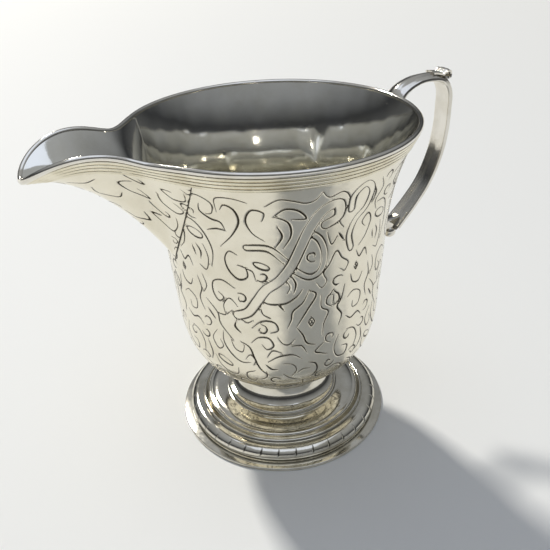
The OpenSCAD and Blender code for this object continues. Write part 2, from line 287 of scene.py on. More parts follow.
class Plate:
    """Places on the unrolled silver, in mm, and the cut that is nearest to each: `cut` is
    how far its edge is, `side` how far its middle is to the left or right of the place,
    and `half` half its width. With wrap, the pattern repeats after that many mm."""

    def __init__(self, places, wrap=0.0):
        self.at = places
        self.shifts = (-wrap, 0, wrap) if wrap else (0,)
        self.cut = np.full(len(places), 9.0)
        self.side = np.full(len(places), 9.0)
        self.half = np.full(len(places), 0.2)
        self.ground = np.ones(len(places))

    def trace(self, path, reach):
        """Places near a path, their distance to its left or right and share along it."""
        low, high = path.min(0) - reach, path.max(0) + reach
        index = np.flatnonzero(np.all((self.at > low) & (self.at < high), axis=1))
        p = self.at[index]
        best = np.full(len(p), 1e9)
        share = np.zeros(len(p))
        for k in range(len(path) - 1):
            d = path[k + 1] - path[k]
            q = p - path[k]
            f = np.clip((q @ d) / max(d @ d, 1e-9), 0, 1)
            gap = np.hypot(*(q - f[:, None] * d).T)
            closer = gap < np.abs(best)
            left = np.where(d[0] * q[:, 1] - d[1] * q[:, 0] < 0, -1, 1)
            best[closer] = (gap * left)[closer]
            share[closer] = (k + f[closer]) / (len(path) - 1)
        return index, best, share

    def keep(self, index, side, half):
        """Keeps a cut at the places where no other is nearer."""
        cut = np.abs(side) - half
        nearer = cut < self.cut[index]
        chosen = index[nearer]
        self.cut[chosen], self.side[chosen] = cut[nearer], side[nearer]
        self.half[chosen] = half[nearer]

    def line(self, path, wide=0.42, thin=0.14, peak=0.5):
        """One swelling cut of the graver: it enters thin, swells and leaves thin."""
        for shift in self.shifts:
            index, side, share = self.trace(np.asarray(path, float) + (shift, 0), 1.6)
            swell = np.where(share < peak, share / peak, (1 - share) / (1 - peak))
            self.keep(index, side, 0.5 * (thin + (wide - thin) * np.sin(0.5 * math.pi * swell)))

    def strap(self, path, width, wide=0.36):
        """A band with a cut along each edge, lying over whatever was cut before it."""
        for shift in self.shifts:
            index, side, share = self.trace(path + (shift, 0), width + 1)
            beyond = np.abs(side) - 0.5 * width
            inside = index[beyond < 0]
            self.cut[inside] = 9.0
            self.ground[inside] = 0.0
            swell = 0.75 + 0.35 * np.sin(share * math.pi * 5)
            self.keep(index, beyond, 0.5 * wide * swell)


# %% Motifs
def sweep(points, count=28):
    return through(points, np.linspace(0, 1, count))


def curl(x, t, radius, start, turns, tighten=0.35, count=24):
    """A spiral that winds in to (x, t); a negative number of turns winds the other way."""
    s = np.linspace(0, 1, count)
    a = math.radians(start) + 2 * math.pi * turns * s
    r = radius * (1 - (1 - tighten) * s)
    return np.stack([x + r * np.cos(a), t + r * np.sin(a)], axis=1)


def leaf(plate, x, t, size, lean, lobes=2):
    """A pointed leaf: two bowed edges with notches, and a rib down its middle."""
    turn = math.radians(lean)

    def at(points):
        p = np.asarray(points, float) * size
        c, s = math.cos(turn), math.sin(turn)
        return np.stack([x + c * p[:, 0] - s * p[:, 1], t + s * p[:, 0] + c * p[:, 1]], axis=1)

    for side in (-1, 1):
        edge = [(0.06 * side, 0)]
        for k in range(lobes):
            low = k / lobes
            wide = 0.42 * (1 - 0.35 * k)
            edge += [(side * wide, low + 0.3 / lobes), (side * wide * 0.85, low + 0.7 / lobes),
                     (side * wide * 0.45, low + 0.86 / lobes)]
        edge += [(0, 1.12)]
        plate.line(at(sweep(edge, 30)), 0.46)
    plate.line(at([(0, 0.12), (0.03, 0.45), (0, 0.8)]), 0.34)


def diamond(plate, x, t, size):
    """A small cut diamond with a fleck in its middle."""
    corners = np.array([(0, 1), (0.62, 0), (0, -1), (-0.62, 0)]) * size + (x, t)
    for a, b in zip(corners, np.roll(corners, -1, axis=0)):
        plate.line(np.array([a, mix(a, b, 0.5), b]), 0.34, 0.2)
    plate.line(np.array([(x, t - 0.3 * size), (x, t + 0.3 * size)]), 0.4)


def fan(plate, x, t, size, lean, petals=3, spread=110):
    """Petals side by side round one point, like half a flower."""
    for k in range(petals):
        a = lean + spread * (k / max(petals - 1, 1) - 0.5)
        turn = math.radians(a)
        tip = np.array([math.cos(turn), math.sin(turn)]) * size
        across = np.array([-tip[1], tip[0]]) * 0.3
        root = np.array([x, t])
        plate.line(sweep([root + 0.12 * tip, root + 0.55 * tip + across, root + tip,
                          root + 0.55 * tip - across, root + 0.12 * tip], 22), 0.42)


# %% The pattern
def fill(plate, low, high, room=1.25):
    """Commas and small curls wherever the silver is still plain, as an engraver fills in."""
    step = 2.3
    for row, t in enumerate(np.arange(low[1], high[1], step)):
        for k, x in enumerate(np.arange(low[0] + 0.5 * step * (row % 2), high[0], step)):
            near = np.flatnonzero(np.hypot(*(plate.at - (x, t)).T) < 0.4)
            if len(near) == 0 or plate.cut[near].min() < room:
                continue
            size = min(plate.cut[near].min() * 0.92, 2.0)
            hand = -1 if (row + k) % 2 else 1
            plate.line(curl(x, t, size, 70 * row + 130 * k, 0.62 * hand, 0.3, 14), 0.44)
            plate.line(curl(x, t, 0.5 * size, 70 * row + 130 * k + 150, 0.3 * hand, 0.8, 8), 0.3)


def loops(p, x, t, long, tall, lean=0.0, wide=0.34):
    """A flat oval, cut a little deeper along its lower edge."""
    a = np.linspace(0.5, 2.5, 26) * math.pi
    c, d = math.cos(math.radians(lean)), math.sin(math.radians(lean))
    q = np.stack([long * np.cos(a), tall * np.sin(a)], axis=1)
    p.line(np.stack([x + c * q[:, 0] - d * q[:, 1], t + d * q[:, 0] + c * q[:, 1]], axis=1), wide)


def cuts(p, *strokes):
    """Swelling cuts, each given as its greatest width and the places it passes."""
    for wide, *places in strokes:
        p.line(sweep(places, 8 * len(places)), wide)


def cut_upper(p):
    """Scrolls between the rim and the knot; the knot's crossing is at (0, 53)."""
    cuts(p,
         (0.3, (-4.4, 71.4), (-2.0, 73.0), (0.6, 72.4), (3.1, 71.4), (5, 71.9), (6.3, 74)),
         (0.3, (6.3, 74.0), (7.9, 72.0), (10.9, 72.8), (12.9, 69.6), (11.4, 64.6), (12.6, 62.4)),
         (0.5, (-3.1, 68.3), (-0.8, 70.2), (1.9, 69.4), (3.5, 67.0), (0.6, 67.2)),
         (0.5, (-3.1, 68.3), (-0.2, 66.4), (0.4, 62.8), (-1.2, 59.4)),
         (0.5, (-2.5, 65.4), (-1.5, 62.6), (-2.9, 59.8)),
         (0.42, (-5.4, 61.6), (-7.8, 63.8), (-8.8, 67.2), (-7.4, 70.2), (-5.0, 69.4), (-5.4, 67.2)),
         (0.5, (-15.4, 59.4), (-12.3, 62.8), (-10.3, 66.7), (-10.8, 70), (-12.6, 71.4), (-13.7, 70)),
         (0.26, (-14.6, 69.2), (-14.2, 73.0), (-11.0, 73.4), (-8.2, 72.4)),
         (0.3, (-20.8, 72.2), (-18.2, 73.4), (-15.4, 71.4), (-15.8, 68.6), (-17.4, 68.0)),
         (0.5, (-18.3, 70.8), (-18.6, 68.6), (-16.4, 66.8), (-14.4, 66.2), (-13.6, 63.9)),
         (0.42, (-17.9, 63.5), (-15.6, 64.2), (-13.6, 63.9)),
         (0.45, (-12.0, 57.4), (-13.7, 58.2), (-15, 55.9), (-14.4, 52.8), (-12.2, 50.6),
                (-9.9, 51.4), (-10.2, 53.8), (-12.0, 54.6)),
         (0.3, (-10.2, 53.8), (-8.6, 53.0), (-8.0, 50.8)),
         (0.4, (-24.6, 65.6), (-21.6, 65.2), (-19.2, 62.0), (-18.0, 57.4), (-18.8, 53.0)),
         (0.3, (-20.4, 58.6), (-19.6, 55.0), (-20.6, 51.6), (-22.4, 52.4)),
         (0.5, (-22.6, 58.2), (-21.6, 56.4), (-21.9, 54.4)), (0.45, (-24, 57.4), (-23.4, 55.2)),
         (0.35, (6.6, 48.4), (7.9, 46.8), (9.2, 48.4), (8.3, 50.8), (9.8, 53.0), (11.5, 56.1),
                (13.1, 53.8), (15.2, 51.8), (14.2, 49.8), (12.9, 50.8)),
         (0.3, (11.4, 60.6), (10, 58.3), (8.6, 62.0)), (0.5, (11.6, 61.0), (13.1, 58.7)),
         (0.4, (18.4, 55.4), (20.4, 57.6), (21.4, 61.2), (19.8, 63.6), (18.2, 61.8), (19.4, 60.2)),
         (0.42, (17.7, 53.9), (18.9, 52.0), (20.8, 53.6), (21.8, 51.4)),
         (0.3, (21.2, 72.6), (22.8, 69.6), (21.4, 66.4), (22.6, 63.6)),
         (0.4, (19.0, 71.6), (20.6, 69.0), (20.2, 66.4)))
    loops(p, -6.4, 54.6, 2.0, 0.8, -24, 0.42)
    loops(p, -22.0, 61.6, 2.2, 1.2, -20, 0.42)


def cut_middle(p):
    """Leaves and small scrolls under the knot."""
    cuts(p,
         (0.4, (-13.5, 47.8), (-16.5, 49.6), (-19.2, 48.6), (-19.7, 45.6), (-18.4, 43.2),
               (-16.8, 44.4), (-18.0, 45.8)),
         (0.3, (-16.9, 39.4), (-17.1, 42.2), (-15.2, 44.6), (-13.3, 42.6)),
         (0.4, (-22.3, 42.6), (-19.4, 39.2), (-18.9, 35.8), (-15.6, 31.4)),
         (0.5, (-22.3, 39.6), (-20.4, 37.0)), (0.26, (-19.2, 39.2), (-16.9, 39.2), (-15, 41.0)),
         (0.6, (-14.2, 37.6), (-14.6, 36.0), (-13.2, 34.4)),
         (0.3, (-14.2, 37.6), (-13.2, 38.9), (-11.2, 37.8), (-9.6, 38.6)),
         (0.45, (-6.9, 44.6), (-4.6, 43.7), (-1.2, 43.8), (1.5, 45.4), (2.9, 47.2)),
         (0.3, (-7.3, 43.5), (-6.9, 40.8), (-5.0, 39.6)), (0.45, (-3, 43.6), (-1.6, 41.8)),
         (0.5, (0.2, 51.8), (1.4, 49.2), (0.9, 46.6)), (0.26, (-0.8, 50.2), (0, 48.4), (-0.7, 46.6)),
         (0.4, (-9.8, 36.4), (-7.2, 38.6), (-4.2, 38.2), (-3.2, 35.8), (-5.0, 35.0)),
         (0.42, (-10.4, 31.6), (-8.4, 33.4), (-5.8, 33.2), (-4.6, 30.8), (-6.4, 29.6), (-7.6, 31.0)),
         (0.3, (-3.4, 33.4), (-2.2, 31.4), (-0.6, 31.0), (0.9, 32.4)),
         (0.45, (4.6, 46.7), (3.1, 43.5), (0.6, 41.2), (0.1, 38.6), (-0.8, 36.4)),
         (0.55, (4.8, 46.7), (6.5, 45.1), (4.2, 41.0), (1.5, 36.3)),
         (0.5, (1.5, 36.1), (3.1, 33.6), (4.2, 30.8), (6.4, 29.8)),
         (0.4, (7.9, 44.6), (8.0, 41.0), (10.0, 39.2), (8.8, 35.6), (8.6, 32.2)),
         (0.5, (14.6, 45.6), (13.8, 41.8), (12.6, 39.6), (14.2, 36.8), (13.4, 33.8)),
         (0.4, (16.4, 47.6), (17.2, 45.4), (19.4, 44.8), (20.6, 46.8)),
         (0.3, (16.0, 41.4), (18.0, 42.6), (20.6, 41.0), (20.2, 37.8), (18.0, 37.4), (17.8, 39.2)),
         (0.4, (22.8, 48.6), (23.6, 45.2), (22.4, 42.0), (23.4, 38.6)),
         (0.45, (15.8, 35.6), (17.6, 34.2), (20.2, 35.0), (21.8, 33.4)),
         (0.3, (-22.4, 49.6), (-21.6, 46.6), (-23.0, 44.2)))
    leaf(p, 11.2, 40.4, 4.4, 0, 1)
    diamond(p, 5.4, 37.2, 1.5)
    diamond(p, 18.0, 49.6, 1.1)


def cut_lower(p):
    """Scrolls and petals round the bowl, down to the foot."""
    cuts(p,
         (0.45, (-18.5, 33.4), (-18.7, 30), (-16.9, 26.7), (-14.2, 24.4), (-11.5, 24.6)),
         (0.3, (-16.4, 32.0), (-15.6, 28.9), (-13.4, 28.0), (-12.6, 30.4)),
         (0.5, (-13.5, 31.4), (-11.2, 29.9), (-10, 26.2), (-8.8, 22.6), (-6.8, 20)),
         (0.3, (-12.6, 25.8), (-11.2, 27.4), (-9.9, 25.6), (-10.6, 23.8)),
         (0.5, (-7, 24.2), (-5.6, 22.6), (-4, 22.4)),
         (0.45, (-6.2, 25.4), (-3.8, 27.0), (-1.2, 27.6), (0.8, 27.4), (2.7, 25.9)),
         (0.3, (-6.4, 27.2), (-4.9, 29.2), (-2.7, 28.4)), (0.35, (0, 30.4), (2.7, 30.2), (4.2, 27.6)),
         (0.3, (-2.0, 24.6), (0.4, 24.0), (1.4, 21.8), (0.2, 19.4)),
         (0.45, (9.0, 29.6), (6.6, 27.4), (8.2, 26.4), (10.2, 25.4)),
         (0.5, (5, 24), (7, 22.9), (7.6, 20), (6.2, 17.6)),
         (0.3, (1.8, 20.6), (3.4, 21.8), (5.2, 21.6)), (0.3, (-2.4, 20.4), (-0.4, 18.4), (2, 17.2)),
         (0.42, (3.6, 16.6), (4.2, 13.7), (6.5, 13.5), (8.5, 12.6), (7.7, 10.4), (5.4, 10.2),
                (2.3, 12.6)),
         (0.4, (-4.4, 7.8), (-1.2, 6.6), (2.2, 8.2)),
         (0.4, (-15.2, 10), (-14.8, 12), (-12.3, 12.2), (-9.6, 10), (-8.2, 7.8), (-9.6, 6.6)),
         (0.4, (-10.6, 21.4), (-13, 20.2), (-13.4, 17.4), (-11.4, 16.2), (-10.4, 18.0)),
         (0.3, (-9.4, 17.4), (-7.3, 19), (-7.1, 21.2)),
         (0.4, (-15.6, 21.4), (-16.4, 18.6), (-19.2, 18.2), (-21.7, 20.6), (-22.6, 24.2)),
         (0.35, (-20.6, 33.2), (-22.4, 30.2), (-21.0, 27.2), (-19.2, 28.4), (-19.9, 30.4)),
         (0.4, (-21.4, 15.6), (-18.6, 14.6), (-17.2, 11.8), (-19.0, 10.2)),
         (0.42, (13.6, 30.4), (12.4, 26.6), (13.8, 23.2), (16.4, 22.6), (17.2, 25.4), (15.4, 26.2)),
         (0.35, (16.6, 31.0), (19.2, 30.2), (20.8, 27.0), (20.0, 23.6)),
         (0.45, (22.6, 28.4), (23.4, 24.8), (22.2, 21.6)),
         (0.4, (11.2, 18.6), (13.8, 19.6), (16.6, 18.0), (16.8, 14.8), (14.2, 13.8), (13.4, 15.8)),
         (0.4, (18.8, 19.4), (21.2, 17.6), (21.6, 14.2), (19.6, 12.0)),
         (0.4, (10.8, 9.6), (13.4, 8.4), (16.2, 9.4), (18.4, 7.6)))
    loops(p, -6.9, 14.6, 2.1, 0.65, 0, 0.4)
    loops(p, -6.9, 12.2, 2.1, 0.6, 0, 0.4)
    loops(p, -19.4, 23.4, 2.5, 1.0, -32, 0.5)
    fan(p, -0.8, 9.0, 4.6, 90, 3, 70)
    leaf(p, 23.0, 3.6, 6.4, 0, 2)
    leaf(p, 6.4, 2.8, 4.6, 20, 2)


def engrave_body(places):
    """The strapwork of one panel, repeated round the jug, its knot on the near side."""
    s, t = places.T
    p = Plate(np.stack([(s + panel / 2) % panel - panel / 2, t], axis=1), panel)
    # small cuts first, because the straps lie over them
    cut_upper(p)
    cut_middle(p)
    cut_lower(p)
    p.strap(sweep([(-9.4, 59.6), (-4.8, 59.4), (-1.4, 56.2), (1.6, 52.6), (4.9, 50.6), (7.6, 52.0),
                   (8.4, 56.1), (7.0, 60.4), (4.6, 62.8)], 50), 1.5)
    p.strap(sweep([(13.9, 66.8), (13.8, 70.6), (16.4, 73.0), (18.8, 70.4), (18.4, 66.2), (15.8, 63.4),
                   (14.6, 59.4), (15.6, 55.6)], 44), 1.6)
    p.strap(sweep([(8.2, 64.4), (10.9, 66.0), (10.2, 69.6), (7.2, 68.6), (4.6, 64.4), (2.5, 59.0),
                   (0.5, 54.4), (-2.2, 50.6), (-5.6, 48.0), (-8.0, 44.6), (-10.4, 41.2),
                   (-13.4, 39.8)], 70), 2.5)
    fill(p, (-23.5, 3.5), (23.5, 74), 1.75)
    return p


def keep_cuts(obj, places, engrave, where=None):
    """Stores the nearest cut, and the flat ground, on the mesh's points."""
    count = len(obj.data.vertices)
    where = np.arange(count) if where is None else where
    plate = engrave(places)
    kept = {"cut": (3.0, np.clip(plate.cut, -1, 3)), "side": (3.0, np.clip(plate.side, -3, 3)),
            "half": (0.2, plate.half), "ground": (0.0, plate.ground)}
    for name, (plain, values) in kept.items():
        field = np.full(count, plain, np.float32)
        field[where] = values
        obj.data.attributes.new(name, "FLOAT", "POINT").data.foreach_set("value", field)
    if len(where):
        print(f"{obj.name}: {np.mean(plate.cut < 0):.0%} of the face is cut away")


def leave_plain(obj):
    """No cuts: every point of the piece is far from one."""
    keep_cuts(obj, np.zeros((0, 2)), Plate, np.arange(0))


# %% [markdown]
# ## Finishes
# Everything is sterling silver, and what differs is how it was worked. Raised sheet
# keeps a faint unevenness from the planishing hammer, under hand polishing that leaves
# hair-fine scratches. Spun and cast pieces are smoother. Old silver is a little yellow,
# and its engraved lines are painted dark: partly tarnish where the polishing cloth never
# reaches, partly painted shade for grooves that have no depth in the mesh.
# A metal's colour is its reflection, so it has no separate gloss: roughness, a little
# bump and the room do the rest.


# %% Node helpers
def to_linear(hex_colour):
    """An sRGB hex colour as the linear colour that a shader socket takes."""
    parts = [int(hex_colour[i:i + 2], 16) / 255 for i in (1, 3, 5)]
    return [c / 12.92 if c <= 0.04045 else ((c + 0.055) / 1.055) ** 2.4 for c in parts] + [1]


def add(tree, kind, sockets=(), links=(), **settings):
    """Adds a node, sets its settings and socket values, and links sockets into it."""
    node = tree.nodes.new(kind)
    for key, value in settings.items():
        setattr(node, key, value)
    for key, value in dict(sockets).items():
        node.inputs[key].default_value = value
    for key, source in dict(links).items():
        tree.links.new(source, node.inputs[key])
    return node


def silver(name, tint, dull, rough, hammer=0.0, tall=1.0, engraved=False, cloudy=0.5,
           scratch=0.004):
    """Worked silver. tint is its colour, dull its colour where tarnish gathers, rough its
    roughness, hammer the depth in mm of the unevenness left by planishing, and tall how
    much longer than wide its dishes are."""
    look = bpy.data.materials.new(name)
    look.use_nodes = True
    tree = look.node_tree
    shader = tree.nodes["Principled BSDF"]
    shader.inputs["Metallic"].default_value = 1.0
    place = add(tree, "ShaderNodeTexCoord").outputs["Object"]
    # tarnish lies in soft clouds about 8 mm across, with specks under a millimetre
    clouds = add(tree, "ShaderNodeTexNoise", {"Scale": 120, "Detail": 5, "Roughness": 0.6},
                 {"Vector": place})
    specks = add(tree, "ShaderNodeTexNoise", {"Scale": 1500, "Detail": 3}, {"Vector": place})
    veil = add(tree, "ShaderNodeMapRange", {"From Min": 0.4, "From Max": 0.72, "To Max": cloudy},
               {"Value": clouds.outputs["Fac"]})
    colour = add(tree, "ShaderNodeMix", {6: to_linear(tint), 7: to_linear(dull)},
                 {0: veil.outputs["Result"]}, data_type="RGBA")
    paint = colour.outputs[2]
    gloss = add(tree, "ShaderNodeMapRange",
                {"From Min": 0.3, "From Max": 0.7, "To Min": rough * 0.7, "To Max": rough * 1.4},
                {"Value": specks.outputs["Fac"]})
    sheen = gloss.outputs["Result"]
    # polishing scratches run every way, so two stretched noises cross each other
    height = None
    for squeeze in ((1, 1, 14), (12, 1.5, 1)):
        lay = add(tree, "ShaderNodeMapping", {"Scale": squeeze}, {"Vector": place})
        hair = add(tree, "ShaderNodeTexNoise", {"Scale": 420, "Detail": 2},
                   {"Vector": lay.outputs["Vector"]})
        bump = add(tree, "ShaderNodeBump", {"Strength": 0.5, "Distance": scratch * MM},
                   {"Height": hair.outputs["Fac"]})
        if height:
            tree.links.new(height, bump.inputs["Normal"])
        height = bump.outputs["Normal"]
    if hammer:
        # planishing leaves shallow dishes 5 to 8 mm across
        lay = add(tree, "ShaderNodeMapping", {"Scale": (1, 1, 1 / tall)}, {"Vector": place})
        dishes = add(tree, "ShaderNodeTexNoise", {"Scale": 110, "Detail": 1.2},
                     {"Vector": lay.outputs["Vector"]})
        bump = add(tree, "ShaderNodeBump", {"Strength": 1, "Distance": hammer * MM},
                   {"Height": dishes.outputs["Fac"], "Normal": height})
        height = bump.outputs["Normal"]
    if engraved:
        # the distance to a cut's middle shows cuts finer than the mesh, and is trusted only
        # where a cut is near, because it changes sign midway between two cuts as well
        far, side, half = [add(tree, "ShaderNodeAttribute", attribute_name=name).outputs["Fac"]
                           for name in ("cut", "side", "half")]
        beside = add(tree, "ShaderNodeMath", {}, {0: side}, operation="ABSOLUTE")
        fine = add(tree, "ShaderNodeMath", {}, {0: beside.outputs[0], 1: half},
                   operation="SUBTRACT")
        gap = add(tree, "ShaderNodeMath", {}, {0: far, 1: half}, operation="ADD")
        reach = add(tree, "ShaderNodeMath", {1: 0.3}, {0: gap.outputs[0]}, operation="SUBTRACT")
        cut = add(tree, "ShaderNodeMath", {}, {0: fine.outputs[0], 1: reach.outputs[0]},
                  operation="MAXIMUM").outputs[0]
        wobble = add(tree, "ShaderNodeTexNoise", {"Scale": 700, "Detail": 2}, {"Vector": place})
        worn = add(tree, "ShaderNodeMath", {1: 0.05}, {0: wobble.outputs["Fac"]},
                   operation="MULTIPLY")
        edge = add(tree, "ShaderNodeMath", {}, {0: cut, 1: worn.outputs[0]}, operation="ADD")
        # 1 inside a groove, 0 on the polished face
        groove = add(tree, "ShaderNodeMapRange",
                     {"From Min": 0.1, "From Max": -0.06, "To Min": 0, "To Max": 1},
                     {"Value": edge.outputs[0]}, interpolation_type="SMOOTHSTEP")
        deep = groove.outputs["Result"]
        # inside a groove the colour is painted dark #3A352B: partly tarnish that gathers there, partly
        # painted shade standing in for a depth the mesh does not have
        groove_tarnish_and_shade = add(tree, "ShaderNodeMix", {7: to_linear("#3A352B")}, {0: deep, 6: paint},
                    data_type="RGBA")
        paint = groove_tarnish_and_shade.outputs[2]
        rub = add(tree, "ShaderNodeMapRange", {"To Min": 0.0, "To Max": 0.3}, {"Value": deep})
        rougher = add(tree, "ShaderNodeMath", {}, {0: sheen, 1: rub.outputs["Result"]},
                      operation="ADD")
        sheen = rougher.outputs[0]
        # the graver's wall slopes over a quarter of a millimetre and raises a slight burr
        slope = add(tree, "ShaderNodeMapRange",
                    {"From Min": -0.12, "From Max": 0.26, "To Min": 0, "To Max": 1},
                    {"Value": cut}, interpolation_type="SMOOTHERSTEP")
        bump = add(tree, "ShaderNodeBump", {"Strength": 1, "Distance": 0.1 * MM},
                   {"Height": slope.outputs["Result"], "Normal": height})
        height = bump.outputs["Normal"]
        # level lines of the graver, 0.75 mm apart, fill the ground round the motifs
        level = add(tree, "ShaderNodeTexWave",
                    {"Scale": 1000 / 0.75 / 20, "Distortion": 1.1, "Detail": 1, "Detail Scale": 90},
                    {"Vector": place}, bands_direction="Z")
        ground = add(tree, "ShaderNodeAttribute", attribute_name="ground").outputs["Fac"]
        shade = add(tree, "ShaderNodeMath", {}, {0: level.outputs["Fac"], 1: ground},
                    operation="MULTIPLY")
        bump = add(tree, "ShaderNodeBump", {"Strength": 0.6, "Distance": 0.03 * MM},
                   {"Height": shade.outputs[0], "Normal": height})
        height = bump.outputs["Normal"]
    tree.links.new(paint, shader.inputs["Base Color"])
    tree.links.new(sheen, shader.inputs["Roughness"])
    tree.links.new(height, shader.inputs["Normal"])
    return look


# %% The finishes of this jug
raised = silver("raised_sheet", "#F4EEDD", "#DDD5BE", 0.15, hammer=0.05, engraved=True)
burnished = silver("burnished_inside", "#F6F4EC", "#E0DCCB", 0.07, hammer=0.28, tall=3.0)
rolled = silver("rolled_reeding", "#F4EDD8", "#B5A985", 0.2, cloudy=0.6)
wired = silver("drawn_wire", "#EFEBE2", "#CFC6B0", 0.10)
cast = silver("cast_strap", "#ECE8DF", "#BDB49E", 0.14, hammer=0.02)
turned = silver("spun_foot", "#EAE6DA", "#B8B09B", 0.07, hammer=0.06, engraved=True, cloudy=0.6)
soldered = silver("oxidised_joint", "#6F6B63", "#3A372F", 0.4)
print("finishes:", [look.name for look in bpy.data.materials])


def line_inside(obj, is_inside):
    """Gives the burnished finish to the faces whose middles lie inside."""
    middles = np.array([polygon.center for polygon in obj.data.polygons]) / MM
    obj.data.materials.append(burnished)
    obj.data.polygons.foreach_set("material_index", is_inside(middles).astype(np.int32))


# %% [markdown]
# ## The body
# The body was raised from one sheet: a bell with a rounded bottom, a nearly straight
# wall and a flared rim. Spinning its outline gives the same form. A V is then cut out of
# the front for the spout, as the silversmith did with a piercing saw.

# %% Body
outer = even(outline, 190)
inner = even(shifted(outline, wall), 24)[::-1]
shell = spun("jug_body", np.concatenate([[[0, seat[1]]], outer, inner, [[0, seat[1] + wall]]]), 464)

root_x = edge_r * math.cos(spout_half)
root_y = edge_r * math.sin(spout_half)
v_shape = [(-root_y, edge_h), (-spout_foot, spout_h), (spout_foot, spout_h), (root_y, edge_h),
           (root_y, rim_h + 1), (-root_y, rim_h + 1)]
mesh = bpy.data.meshes.new("v_saw")
mesh.from_pydata([(x * MM, y * MM, z * MM) for x in (-2 * rim_r, 0) for y, z in v_shape], [],
                 [[5, 4, 3, 2, 1, 0], [6, 7, 8, 9, 10, 11]]
                 + [[i, (i + 1) % 6, (i + 1) % 6 + 6, i + 6] for i in range(6)])
saw = bpy.data.objects.new("v_saw", mesh)
bpy.context.collection.objects.link(saw)
clean(saw)
only(shell)
cutting = shell.modifiers.new("v", "BOOLEAN")
cutting.object = saw
cutting.operation = "DIFFERENCE"
cutting.solver = "MANIFOLD"
bpy.ops.object.modifier_apply(modifier="v")
bpy.data.objects.remove(saw)

# %% Engrave the body
panel_middle = math.radians(-110.6)


def seam_gap(v):
    """Half the width of the solder line beside the spout, which thickens downwards."""
    return mix(0.1, 0.3, np.clip(v, 0, 1))


xyz = points_of(shell)
radius = np.hypot(xyz[:, 0], xyz[:, 1])
face = np.flatnonzero((np.abs(radius - body_r(xyz[:, 2])) < 0.25) & (radius > seat[0] + 0.2))
round_s = (np.arctan2(xyz[face, 1], xyz[face, 0]) - panel_middle) * 2 * panel / math.pi
up_t = np.interp(xyz[face, 2], outline[:, 1], outline_s)


def engrave_shell(places):
    """The strapwork, with the solder line along the edges of the V."""
    p = engrave_body(places)
    v = (edge_h - xyz[face, 2]) / (edge_h - spout_h)
    beside = np.abs(np.abs(xyz[face, 1]) - mix(root_y, spout_foot, v))
    at_seam = np.flatnonzero((xyz[face, 0] < 0) & (v < 1.04))
    p.keep(at_seam, beside[at_seam], seam_gap(v)[at_seam])
    return p


keep_cuts(shell, np.stack([round_s, up_t], axis=1), engrave_shell, face)
done(shell, "body_shell", slot="body_silver", look=raised, crease=30)
line_inside(shell, lambda at: np.hypot(at[:, 0], at[:, 1]) < body_r(at[:, 2]) - 0.6 * wall)

# %% [markdown]
# ## The helmet spout
# The spout is a second sheet. Its edge is soldered into the V, its keel runs down to
# the V's foot, and its lip rises from the rim and falls again to the tip. Every rib of
# it is the lip's own curve, scaled to fit between the seam and the keel, so one formula
# gives the whole surface. A grid is bent to that formula twice, outside and inside.

# %% The spout's formula
tip_x = spout_reach - wire_r
tip_h = edge_h - lip_droop
lip_points = [(root_x, root_y, edge_h),
              (mix(root_x, tip_x, 0.35), 0.38 * root_y, edge_h),
              (mix(root_x, tip_x, 0.24), 0.45 * root_y, edge_h - 2.5),
              (mix(root_x, tip_x, 0.57), 0.66 * root_y, edge_h + lip_arch),
              (tip_x, 0.4 * root_y, tip_h + 1.4),
              (tip_x, 0, tip_h)]
keel_points = [(tip_x, tip_h), (spout_reach - 13, tip_h - 0.5),
               (body_r(spout_h) + 7.5, spout_h + 13), (body_r(spout_h), spout_h)]


def seam(v, depth=0.0):
    """Where the spout meets the body, on the face or depth below it; v runs downwards."""
    h, y = mix(edge_h, spout_h, v), mix(root_y, spout_foot, v)
    return np.sqrt((body_r(h) - depth) ** 2 - y * y), y, h


def spout_face(w, v):
    """The outside: w from one seam, at -1, over the keel to the other, at 1."""
    lip = bezier(lip_points, 1 - np.abs(w))
    x_share = (lip[..., 0] - root_x) / (tip_x - root_x)
    rise = lip[..., 2] - mix(edge_h, tip_h, x_share)
    sx, sy, sz = seam(v)
    keel = bezier(keel_points, v)
    return np.stack([-mix(sx, keel[..., 0], x_share), sy * lip[..., 1] / root_y * np.sign(w),
                     mix(sz, keel[..., 1], x_share) + rise * (1 - v) ** 1.6], axis=-1)


def spout_normal(w, v, h=0.004):
    """Outward direction there."""
    w0, w1 = np.clip(w - h, -1, 1), np.clip(w + h, -1, 1)
    v0, v1 = np.clip(v - h, 0, 1), np.clip(v + h, 0, 1)
    return unit(np.cross(spout_face(w1, v) - spout_face(w0, v),
                         spout_face(w, v1) - spout_face(w, v0)))


def spout_inside(w, v):
    """The inside, whose edges lie on the V's sawn faces."""
    p = spout_face(w, v)
    q = p - wall * spout_normal(w, v)
    q[..., 2] = mix(q[..., 2], p[..., 2], v ** 8)
    sx, sy, sz = seam(v, wall)
    edge = np.stack([-sx, sy * np.sign(w), sz], axis=-1)
    return mix(q, edge, (np.abs(w) ** 30)[..., None])


# %% Spout
keel_side = spout_normal(np.array([0.0]), np.array([0.3]))[0]
print("the keel faces", keel_side.round(2), "so outside is away from the handle")
spout_across, spout_down = 190, 120
spout = bent("helmet_spout", lambda u, v: spout_face(2 * u - 1, v), spout_across, spout_down)


